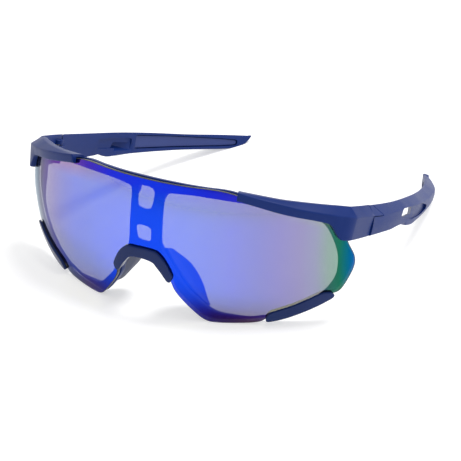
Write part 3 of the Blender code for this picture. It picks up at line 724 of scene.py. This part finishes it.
def pocket_cutter(name, outline, floor_level, mouth):
    """Cutter for a moulded pocket: a plate on the temple's arc with rounded edges."""
    loop = smooth_loop(rounded_corners(outline, POCKET_CORNER), 0.5, 2)
    low, high = sorted((floor_level, mouth))
    return plate(name, loop, [], temple_place, lambda a, b: low, high, POCKET_EDGE, 2.0)


def rounded_corners(outline, radius):
    """Outline points with short curves at its corners, dense enough to stay straight between them."""
    soft = rounded([Vector((a, b, 0.0)) for a, b in outline], radius, 4)
    points = []
    for here, after in zip(soft, soft[1:] + soft[:1]):
        pieces = max(1, int((after - here).length / 1.5))
        points += [tuple((here + (after - here) * k / pieces)[:2]) for k in range(pieces)]
    return points


def vent_cutter():
    """Slanted slot from the outer mouth to the inner one, carried on past both at the same slant."""
    mouth = rounded([Vector((y, z, 0.0)) for y, z in VENT_OUTER], VENT_CORNER, 5)
    inner = rounded([Vector((y, z, 0.0)) for y, z in VENT_INNER], VENT_CORNER, 5)
    share = VENT_PAST / (VENT_LEVELS[0] - VENT_LEVELS[1])
    rings = []
    for part, level in ((-share, VENT_LEVELS[0] + VENT_PAST), (1.0 + share, VENT_LEVELS[1] - VENT_PAST)):
        ring = [outer.lerp(end, part) for outer, end in zip(mouth, inner)]
        rings.append([temple_point(spot.x, level, spot.y) for spot in ring])
    return loft("vent", rings)


def temple(name):
    """The +X temple with its pockets, vent slot and hinge knuckle, cut flat where it stands."""
    stations = [TEMPLE_START_Y] + list(np.linspace(TEMPLE_START_Y + 0.5, TEMPLE_END_Y, 118))
    rings = [rounded(temple_ring(y), TEMPLE_EDGE, 5) for y in stations]
    body = loft(name, domed_ends(rings, TEMPLE_DOME)[2:])
    combine(body, tongue_zone("tongue_room", FIT_GAP), "DIFFERENCE")
    outer = smooth_value(TEMPLE_THICKNESS, 0.0)
    for pocket, outline, floor_level, mouth in (
        ("front_pocket", FRONT_POCKET, FRONT_POCKET_DEPTH, POCKET_MOUTH),
        ("rear_pocket", REAR_POCKET, REAR_POCKET_DEPTH, POCKET_MOUTH),
        ("vent_recess", VENT_RECESS, outer - VENT_RECESS_DEPTH, outer + 3.0),
    ):
        combine(body, pocket_cutter(pocket, outline, floor_level, mouth), "DIFFERENCE")
    combine(body, vent_cutter(), "DIFFERENCE")
    room = cylinder("swing_room", HINGE_X, HINGE_Y, *THROUGH, KNUCKLE_RADIUS + FIT_GAP)
    combine(body, room, "DIFFERENCE")
    low, high = KNUCKLE_MIDDLE
    knuckle = cylinder("knuckle", HINGE_X, HINGE_Y, low, high, KNUCKLE_RADIUS, KNUCKLE_EDGE)
    arm_low = (HINGE_X - TEMPLE_ARM_HALF, HINGE_Y, low + ARM_INSET)
    arm_back = TEMPLE_START_Y + TEMPLE_ARM_REACH
    arm = block("arm", arm_low, (HINGE_X + TEMPLE_ARM_HALF, arm_back, high - ARM_INSET))
    combine(knuckle, arm, "UNION")
    combine(body, knuckle, "UNION")
    drill_hinge(body, BORE_RADIUS, *THROUGH)
    return stand_on_floor(body)


def grip_strip(name):
    """Rubber inlay in the temple's long inner pocket."""
    loop = smooth_loop(rounded_corners(REAR_POCKET, POCKET_CORNER), 0.5, 2)
    loop = loop - loop_normals(loop) * FIT_GAP
    low, high = GRIP_RECESS, REAR_POCKET_DEPTH - FIT_GAP
    return plate(name, loop, [], temple_place, lambda a, b: low, high, 0.25, 1.5)


def nose_pad(name):
    """Soft pad that runs back from the rim beside the nose, on the +X side."""
    rings = []
    for x, z, depth, flare, drop in PAD_STATIONS:
        root = on_sphere(x, z, PAD_FRONT)
        section = [
            (0.0, 0.0), (0.55 * depth, 0.15 * flare), (depth, flare), (depth, flare + PAD_WALL),
            (0.55 * depth, 0.2 * flare + PAD_WALL), (0.2, PAD_SEAT),
        ]
        rings.append([
            Vector((root.x + side, root.y + back, root.z + drop * back / depth + 0.25 * side))
            for back, side in section
        ])
    fine = [rounded(ring, PAD_EDGE, 6) for ring in between_rings(rings, 6)]
    return loft(name, domed_ends(fine, PAD_DOME), 60.0)


# ---------------------------------------------------------------- materials

def base_material(name, values):
    """New material with these values on its Principled shader."""
    material = bpy.data.materials.new(name)
    material.use_nodes = True
    tree = material.node_tree
    shader = tree.nodes["Principled BSDF"]
    for key, value in values.items():
        shader.inputs[key].default_value = value
    return material, tree, shader


def add(tree, kind, values=None, **settings):
    """New node with values on its inputs and its own settings."""
    node = tree.nodes.new(kind)
    for key, value in settings.items():
        setattr(node, key, value)
    for key, value in (values or {}).items():
        node.inputs[key].default_value = value
    return node


def ramp(tree, stops, source):
    """Colour ramp fed by source, through (position, colour) stops."""
    node = tree.nodes.new("ShaderNodeValToRGB")
    elements = node.color_ramp.elements
    while len(elements) > 1:
        elements.remove(elements[-1])
    for i, (position, colour) in enumerate(stops):
        element = elements[0] if i == 0 else elements.new(position)
        element.position = position
        element.color = (*colour, 1.0) if len(colour) == 3 else colour
    tree.links.new(source, node.inputs["Fac"])
    return node


def object_coordinates(tree):
    """Object coordinates, in metres in the row frame."""
    return add(tree, "ShaderNodeTexCoord").outputs["Object"]


def noise_on(tree, coords, values):
    """Noise texture fed by coordinates."""
    noise = add(tree, "ShaderNodeTexNoise", values)
    tree.links.new(coords, noise.inputs["Vector"])
    return noise.outputs["Fac"]


def uneven_gloss(tree, shader, source, values):
    """Roughness between two values, following source."""
    gloss = add(tree, "ShaderNodeMapRange", values)
    tree.links.new(source, gloss.inputs["Value"])
    tree.links.new(gloss.outputs["Result"], shader.inputs["Roughness"])


def grain_bump(tree, shader, coords, scale, strength, depth=0.00004):
    """Fine surface grain, with its depth in metres."""
    noise = noise_on(tree, coords, {"Scale": scale, "Detail": 3.0, "Roughness": 0.6})
    bump = add(tree, "ShaderNodeBump", {"Strength": strength, "Distance": depth})
    tree.links.new(noise, bump.inputs["Height"])
    tree.links.new(bump.outputs["Normal"], shader.inputs["Normal"])


def varied_plastic(name, dark, light, roughness, spread, grain_scale, grain, values):
    """Moulded plastic: soft patches of tone, slightly uneven gloss and a fine surface grain."""
    material, tree, shader = base_material(name, values)
    coords = object_coordinates(tree)
    patches = noise_on(tree, coords, {"Scale": 60.0, "Detail": 4.0, "Roughness": 0.55})
    tone = ramp(tree, [(0.3, dark), (0.7, light)], patches)
    tree.links.new(tone.outputs["Color"], shader.inputs["Base Color"])
    uneven_gloss(tree, shader, patches, {
        "From Min": 0.3, "From Max": 0.7, "To Min": roughness - spread, "To Max": roughness + spread,
    })
    grain_bump(tree, shader, coords, grain_scale, grain)
    return material


def wearing_coordinates(tree):
    """Object coordinates turned back to the wearing frame, in millimetres, split into X, Y and Z."""
    mapping = add(tree, "ShaderNodeMapping", vector_type="TEXTURE")
    mapping.inputs["Location"].default_value = [value * MM for value in FRAME_ORIGIN]
    mapping.inputs["Rotation"].default_value = (-math.radians(TIP_FORWARD_DEG), 0.0, 0.0)
    mapping.inputs["Scale"].default_value = (MM, MM, MM)
    tree.links.new(object_coordinates(tree), mapping.inputs["Vector"])
    split = add(tree, "ShaderNodeSeparateXYZ")
    tree.links.new(mapping.outputs["Vector"], split.inputs["Vector"])
    return split.outputs


MIRROR_ALPHA = 0.76
# Mirror colour from the wearer's right to the left, in millimetres from the centre line. It is the
# coating's blue, and its view-dependent shift to purple, then green and pale at the sides, is painted
# reflection fixed by position.
MIRROR_COATING_AND_REFLECTION_STOPS = [
    (-71.5, (0.26, 0.38, 0.56)), (-68.0, (0.13, 0.25, 0.31)), (-65.0, (0.13, 0.19, 0.19)),
    (-61.0, (0.20, 0.13, 0.15)), (-56.0, (0.20, 0.12, 0.26)), (-50.0, (0.15, 0.08, 0.36)),
    (-42.0, (0.06, 0.06, 0.52)), (-34.0, (0.025, 0.065, 0.70)),
    (-22.0, (0.012, 0.070, 0.82)), (-8.0, (0.010, 0.072, 0.90)), (8.0, (0.010, 0.075, 0.90)),
    (18.0, (0.010, 0.072, 0.86)), (26.0, (0.012, 0.060, 0.80)), (34.0, (0.018, 0.045, 0.72)),
    (42.0, (0.028, 0.040, 0.56)), (50.0, (0.055, 0.036, 0.42)), (56.0, (0.070, 0.045, 0.30)),
    (60.5, (0.066, 0.080, 0.23)), (64.0, (0.034, 0.138, 0.11)), (67.0, (0.012, 0.165, 0.09)),
    (69.0, (0.002, 0.140, 0.22)), (71.0, (0.001, 0.110, 0.40)),
]
MIRROR_REACH = 72.0
# Mirror colour along the lens's top and bottom edges, and how far each band reaches (share by height). The
# top band is coating colour with the same painted reflection; the bottom band is painted reflection that
# darkens the mirror towards the bottom.
TOP_COATING_AND_REFLECTION_STOPS = [
    (-60.0, (0.10, 0.10, 0.20)), (-50.0, (0.16, 0.03, 0.26)), (-42.0, (0.16, 0.025, 0.34)),
    (-34.0, (0.14, 0.05, 0.46)), (-28.0, (0.075, 0.035, 0.58)), (-16.0, (0.022, 0.036, 0.86)),
    (0.0, (0.010, 0.044, 0.97)), (14.0, (0.012, 0.042, 0.95)), (26.0, (0.018, 0.030, 0.82)),
    (36.0, (0.034, 0.034, 0.68)), (50.0, (0.06, 0.04, 0.42)), (62.0, (0.10, 0.16, 0.06)),
    (68.0, (0.09, 0.17, 0.03)),
]
TOP_SHARE = [(-9.0, 0.0), (-4.5, 1.0)]
BOTTOM_PAINTED_REFLECTION_STOPS = [
    (-56.0, (0.07, 0.06, 0.12)), (-42.0, (0.045, 0.035, 0.09)), (-30.0, (0.08, 0.03, 0.16)),
    (-22.0, (0.045, 0.028, 0.24)), (-14.0, (0.018, 0.040, 0.50)), (14.0, (0.028, 0.045, 0.62)),
    (22.0, (0.020, 0.012, 0.26)), (27.0, (0.024, 0.008, 0.13)), (33.0, (0.032, 0.007, 0.09)),
    (40.0, (0.055, 0.010, 0.050)), (54.0, (0.05, 0.02, 0.04)),
]
BOTTOM_PAINTED_REFLECTION_SHARE = [(-50.0, 1.0), (-47.5, 0.75), (-44.0, 0.25), (-40.0, 0.0)]
LENS_LOW = -54.0
# Lens edge colour by height: its own grey-brown near the top, with painted shade darkening it towards the
# bottom.
EDGE_TONE_AND_SHADE_STOPS = [
    (-50.0, (0.012, 0.008, 0.022)), (-30.0, (0.016, 0.018, 0.030)), (-20.0, (0.06, 0.07, 0.10)),
    (-10.0, (0.06, 0.06, 0.07)), (0.0, (0.05, 0.048, 0.05)),
]
BACK_GLOSS = 0.05
NEUTRAL_TINT = (0.74, 0.74, 0.82, 1.0)
# Tint seen through the lens: it takes out blue where the mirror turns most of it back.
TINT_STOPS = [
    (-58.0, (0.82, 0.86, 0.85)), (-44.0, (0.84, 0.84, 0.60)), (-28.0, (0.86, 0.86, 0.20)),
    (28.0, (0.90, 0.92, 0.20)), (44.0, (0.88, 0.88, 0.50)), (58.0, (0.92, 0.92, 0.92)),
]


def position_ramp(tree, stops, low, high, source):
    """Colour along one coordinate, with its stops given in that coordinate's unit."""
    span = add(tree, "ShaderNodeMapRange", {"From Min": low, "From Max": high})
    tree.links.new(source, span.inputs["Value"])
    scaled = [((at - low) / (high - low), colour) for at, colour in stops]
    return ramp(tree, scaled, span.outputs["Result"]).outputs["Color"]


def colour_across(tree, stops, where):
    """Colour from the wearer's right to the left."""
    return position_ramp(tree, stops, -MIRROR_REACH, MIRROR_REACH, where["X"])


def share_by_height(tree, shares, where):
    """Share between 0 and 1 along the lens's height."""
    return position_ramp(tree, [(z, (v, v, v)) for z, v in shares], LENS_LOW, 0.0, where["Z"])


def blended(tree, share, first, second, **settings):
    """Two colours mixed by a share; an input that is no socket is taken as a fixed value."""
    blend = add(tree, "ShaderNodeMix", data_type="RGBA", **settings)
    for slot, source in ((0, share), (6, first), (7, second)):
        if isinstance(source, bpy.types.NodeSocket):
            tree.links.new(source, blend.inputs[slot])
        else:
            blend.inputs[slot].default_value = source
    return blend.outputs[2]


def lens_mirror():
    """Blue mirror coating whose tone runs to purple and then green towards the sides; this view-dependent
    tone, the pale sides and the darker band along the bottom are painted reflection, fixed by position.
    """
    material, tree, shader = base_material("lens_mirror", {
        "Metallic": 1.0, "Roughness": 0.07, "Alpha": MIRROR_ALPHA, "Specular Tint": (0.56, 0.64, 0.76, 1.0),
    })
    where = wearing_coordinates(tree)
    # Painted reflection: the mirror's view-dependent tone and its darker bottom band are fixed colours by
    # position.
    colour = colour_across(tree, MIRROR_COATING_AND_REFLECTION_STOPS, where)
    for stops, shares in ((TOP_COATING_AND_REFLECTION_STOPS, TOP_SHARE), (BOTTOM_PAINTED_REFLECTION_STOPS, BOTTOM_PAINTED_REFLECTION_SHARE)):
        band = colour_across(tree, stops, where)
        colour = blended(tree, share_by_height(tree, shares, where), colour, band)
    tree.links.new(colour, shader.inputs["Base Color"])
    return material


def lens_back():
    """Inner face of the lens: glossy, and tinted so that the blue the mirror turns back is missing."""
    material, tree, shader = base_material("lens_inner", {
        "Roughness": 0.05, "IOR": 1.5, "Base Color": (0.05, 0.05, 0.05, 1.0),
    })
    where = wearing_coordinates(tree)
    tint = colour_across(tree, TINT_STOPS, where)
    clear = add(tree, "ShaderNodeBsdfTransparent")
    # The tint turns neutral in the bottom band, where the mirror carries its painted reflection.
    colour = blended(tree, share_by_height(tree, BOTTOM_PAINTED_REFLECTION_SHARE, where), tint, NEUTRAL_TINT)
    tree.links.new(colour, clear.inputs["Color"])
    mix = add(tree, "ShaderNodeMixShader")
    mix.inputs[0].default_value = BACK_GLOSS
    tree.links.new(clear.outputs["BSDF"], mix.inputs[1])
    tree.links.new(shader.outputs["BSDF"], mix.inputs[2])
    tree.links.new(mix.outputs["Shader"], tree.nodes["Material Output"].inputs["Surface"])
    return material


def lens_edge():
    """Ground edge of the lens: grey-brown along the top, and darker towards the bottom where it meets the
    rim, as painted shade.
    """
    material, tree, shader = base_material("lens_edge", {
        "IOR": 1.5, "Alpha": 0.9, "Specular IOR Level": 0.35,
    })
    noise = noise_on(tree, object_coordinates(tree), {"Scale": 900.0, "Detail": 3.0})
    tone = ramp(tree, [(0.35, (0.75, 0.75, 0.75)), (0.65, (1.0, 1.0, 1.0))], noise)
    # Painted shade: the edge's colour darkens towards the bottom.
    body = position_ramp(tree, EDGE_TONE_AND_SHADE_STOPS, LENS_LOW, 0.0, wearing_coordinates(tree)["Z"])
    shade = blended(tree, 1.0, tone.outputs["Color"], body, blend_type="MULTIPLY")
    tree.links.new(shade, shader.inputs["Base Color"])
    uneven_gloss(tree, shader, noise, {"To Min": 0.2, "To Max": 0.4})
    return material


def metal(name, dark, light, roughness):
    """Turned or stamped metal with uneven tone and gloss."""
    material, tree, shader = base_material(name, {"Metallic": 1.0})
    coords = object_coordinates(tree)
    noise = noise_on(tree, coords, {"Scale": 1500.0, "Detail": 4.0})
    tone = ramp(tree, [(0.3, dark), (0.7, light)], noise)
    tree.links.new(tone.outputs["Color"], shader.inputs["Base Color"])
    uneven_gloss(tree, shader, noise, {"To Min": roughness - 0.08, "To Max": roughness + 0.08})
    grain_bump(tree, shader, coords, 3000.0, 0.2, 0.00001)
    return material


# Plastics: dark and light tone, roughness and its spread, grain scale and strength, shader values.
MATTE_NAVY = varied_plastic(
    "matte_navy", (0.004, 0.018, 0.114), (0.006, 0.023, 0.138), 0.40, 0.05, 5200.0, 0.45,
    {"Specular IOR Level": 0.12},
)
GLOSS_NAVY = varied_plastic(
    "gloss_navy", (0.004, 0.015, 0.080), (0.006, 0.019, 0.095), 0.22, 0.03, 4000.0, 0.08,
    {"Specular IOR Level": 0.18},
)
PAD_RUBBER = varied_plastic(
    "pad_rubber", (0.018, 0.026, 0.070), (0.025, 0.034, 0.088), 0.50, 0.05, 3500.0, 0.25,
    {"Subsurface Weight": 0.1, "Subsurface Scale": 0.002, "Specular IOR Level": 0.25},
)
GRIP_RUBBER = varied_plastic(
    "grip_rubber", (0.018, 0.034, 0.150), (0.024, 0.042, 0.170), 0.62, 0.05, 4200.0, 0.5,
    {"Specular IOR Level": 0.3},
)
STEEL = metal("hinge_steel", (0.42, 0.42, 0.44), (0.58, 0.58, 0.60), 0.30)
BRASS = metal("hinge_brass", (0.42, 0.30, 0.12), (0.55, 0.40, 0.17), 0.35)


def dress(item, body, slot_name, nodes, *materials):
    """Give a piece its materials and its CAD body, and hide the nodes it stands for; the slot name is not
    used.
    """
    for material in materials:
        item.data.materials.append(material)
    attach(item, body)
    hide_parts(*nodes)
    return item


# ---------------------------------------------------------------- build

dress(rim(), "front", "frame_matte_navy", ["front_frame"], MATTE_NAVY)
lens = shield_lens()
dress(lens, "front", "lens_blue_mirror", ["shield_lens"], lens_mirror(), lens_back(), lens_edge())
nose_outline = smooth_loop(both_sides(NOSE_CLIP_OUTER + NOSE_CLIP_INNER), 0.5, 3)
nose_clip = front_band("nose_bridge_clip_v", nose_outline, NOSE_CLIP_FRONT, NOSE_CLIP_EDGE)
dress(nose_clip, "front", "clip_gloss_navy", ["nose_bridge_clip"], GLOSS_NAVY)

brow_left = endpiece("brow_left_v")
lower_outline = smooth_loop(LOWER_CLIP, 0.5, 3)
lower_left = front_band("lower_rim_clip_left_v", lower_outline, LOWER_CLIP_FRONT, LOWER_CLIP_EDGE)
pad_left = nose_pad("nose_pad_left_v")
arm_left = temple("temple_left_v")
strip_left = grip_strip("temple_grip_left_v")
# Pieces made on the left, each with the name, body, slot, nodes and material of both sides.
pieces = [
    (brow_left, "brow_{}_v", "front", "frame_matte_navy", ["front_frame"], MATTE_NAVY),
    (lower_left, "lower_rim_clip_{}_v", "front", "clip_gloss_navy", ["lower_rim_clip_{}"], GLOSS_NAVY),
    (pad_left, "nose_pad_{}_v", "front", "pad_grey_rubber", ["nose_pad_{}"], PAD_RUBBER),
    (arm_left, "temple_{}_v", "{}_temple", "frame_matte_navy", ["temple_{}"], MATTE_NAVY),
    (strip_left, "temple_grip_{}_v", "{}_temple", "grip_navy_rubber", ["temple_grip_{}"], GRIP_RUBBER),
]
for item, name, body, slot_name, nodes, material in pieces:
    other = mirrored(item, name.format("right"))
    for thing, side in ((item, "left"), (other, "right")):
        dress(thing, body.format(side), slot_name, [node.format(side) for node in nodes], material)

# Screws and nuts stay as packed and only get a finish.
for side in ("left", "right"):
    for kind, material in (("hinge_screw_", STEEL), ("hinge_nut_", BRASS)):
        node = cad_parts[kind + side]
        node.data.materials.clear()
        node.data.materials.append(material)


# ---------------------------------------------------------------- floor, light and camera

FLOOR_GLOW = 0.5
FLOOR_TONE = (0.60, 0.60, 0.60, 1.0)


def floor():
    """Pale seamless floor, lit evenly from below so that shadows on it stay faint."""
    shape = bmesh.new()
    bmesh.ops.create_grid(shape, x_segments=8, y_segments=8, size=3.0)
    item = linked_object("floor", shape)
    material = base_material("floor_white", {
        "Roughness": 0.9, "Specular IOR Level": 0.1, "Emission Strength": FLOOR_GLOW,
        "Base Color": FLOOR_TONE, "Emission Color": (1.0, 1.0, 1.0, 1.0),
    })[0]
    item.data.materials.append(material)


def area_light(name, place, target, size, power):
    """Round lamp that points at a target."""
    data = bpy.data.lights.new(name, "AREA")
    data.shape = "DISK"
    data.size = size
    data.energy = power
    lamp = bpy.data.objects.new(name, data)
    lamp.location = place
    lamp.rotation_euler = (Vector(target) - Vector(place)).to_track_quat("-Z", "Y").to_euler()
    bpy.context.scene.collection.objects.link(lamp)


def world_light(stops):
    """Soft studio surroundings, by height from straight down (-1) to straight up (1)."""
    world = bpy.data.worlds.new("studio")
    world.use_nodes = True
    tree = world.node_tree
    split = add(tree, "ShaderNodeSeparateXYZ")
    tree.links.new(add(tree, "ShaderNodeTexCoord").outputs["Generated"], split.inputs["Vector"])
    glow = position_ramp(tree, [(z, (v, v, v)) for z, v in stops], -1.0, 1.0, split.outputs["Z"])
    tree.links.new(glow, tree.nodes["Background"].inputs["Color"])
    bpy.context.scene.world = world


CAMERA_AZIMUTH_DEG = 28.8158
CAMERA_ELEVATION_DEG = 26.0418
CAMERA_TARGET = (0.02233, -0.05332, 0.0292)
CAMERA_DISTANCE = 0.86
CAMERA_LENS_MM = 177.49
CAMERA_SENSOR_MM = 36.0


def camera():
    """The photograph's view of the glasses."""
    azimuth = math.radians(CAMERA_AZIMUTH_DEG)
    elevation = math.radians(CAMERA_ELEVATION_DEG)
    back = Vector((
        math.sin(azimuth) * math.cos(elevation),
        -math.cos(azimuth) * math.cos(elevation),
        math.sin(elevation),
    ))
    data = bpy.data.cameras.new("camera")
    data.lens = CAMERA_LENS_MM
    data.sensor_width = CAMERA_SENSOR_MM
    data.clip_start = 0.01
    item = bpy.data.objects.new("camera", data)
    item.location = Vector(CAMERA_TARGET) + back * CAMERA_DISTANCE
    item.rotation_euler = (-back).to_track_quat("-Z", "Y").to_euler()
    bpy.context.scene.collection.objects.link(item)
    bpy.context.scene.camera = item


STAGE_MIDDLE = (0.0, 0.0, 0.03)
floor()
world_light([(-1.0, 0.4), (0.0, 1.03), (0.22, 1.0), (0.42, 0.55), (1.0, 0.85)])
area_light("top", (0.25, 0.25, 1.2), STAGE_MIDDLE, 0.5, 11.0)
area_light("side_right", (1.1, 0.2, 0.35), STAGE_MIDDLE, 0.4, 3.0)
camera()
bpy.context.scene.view_settings.view_transform = "Standard"
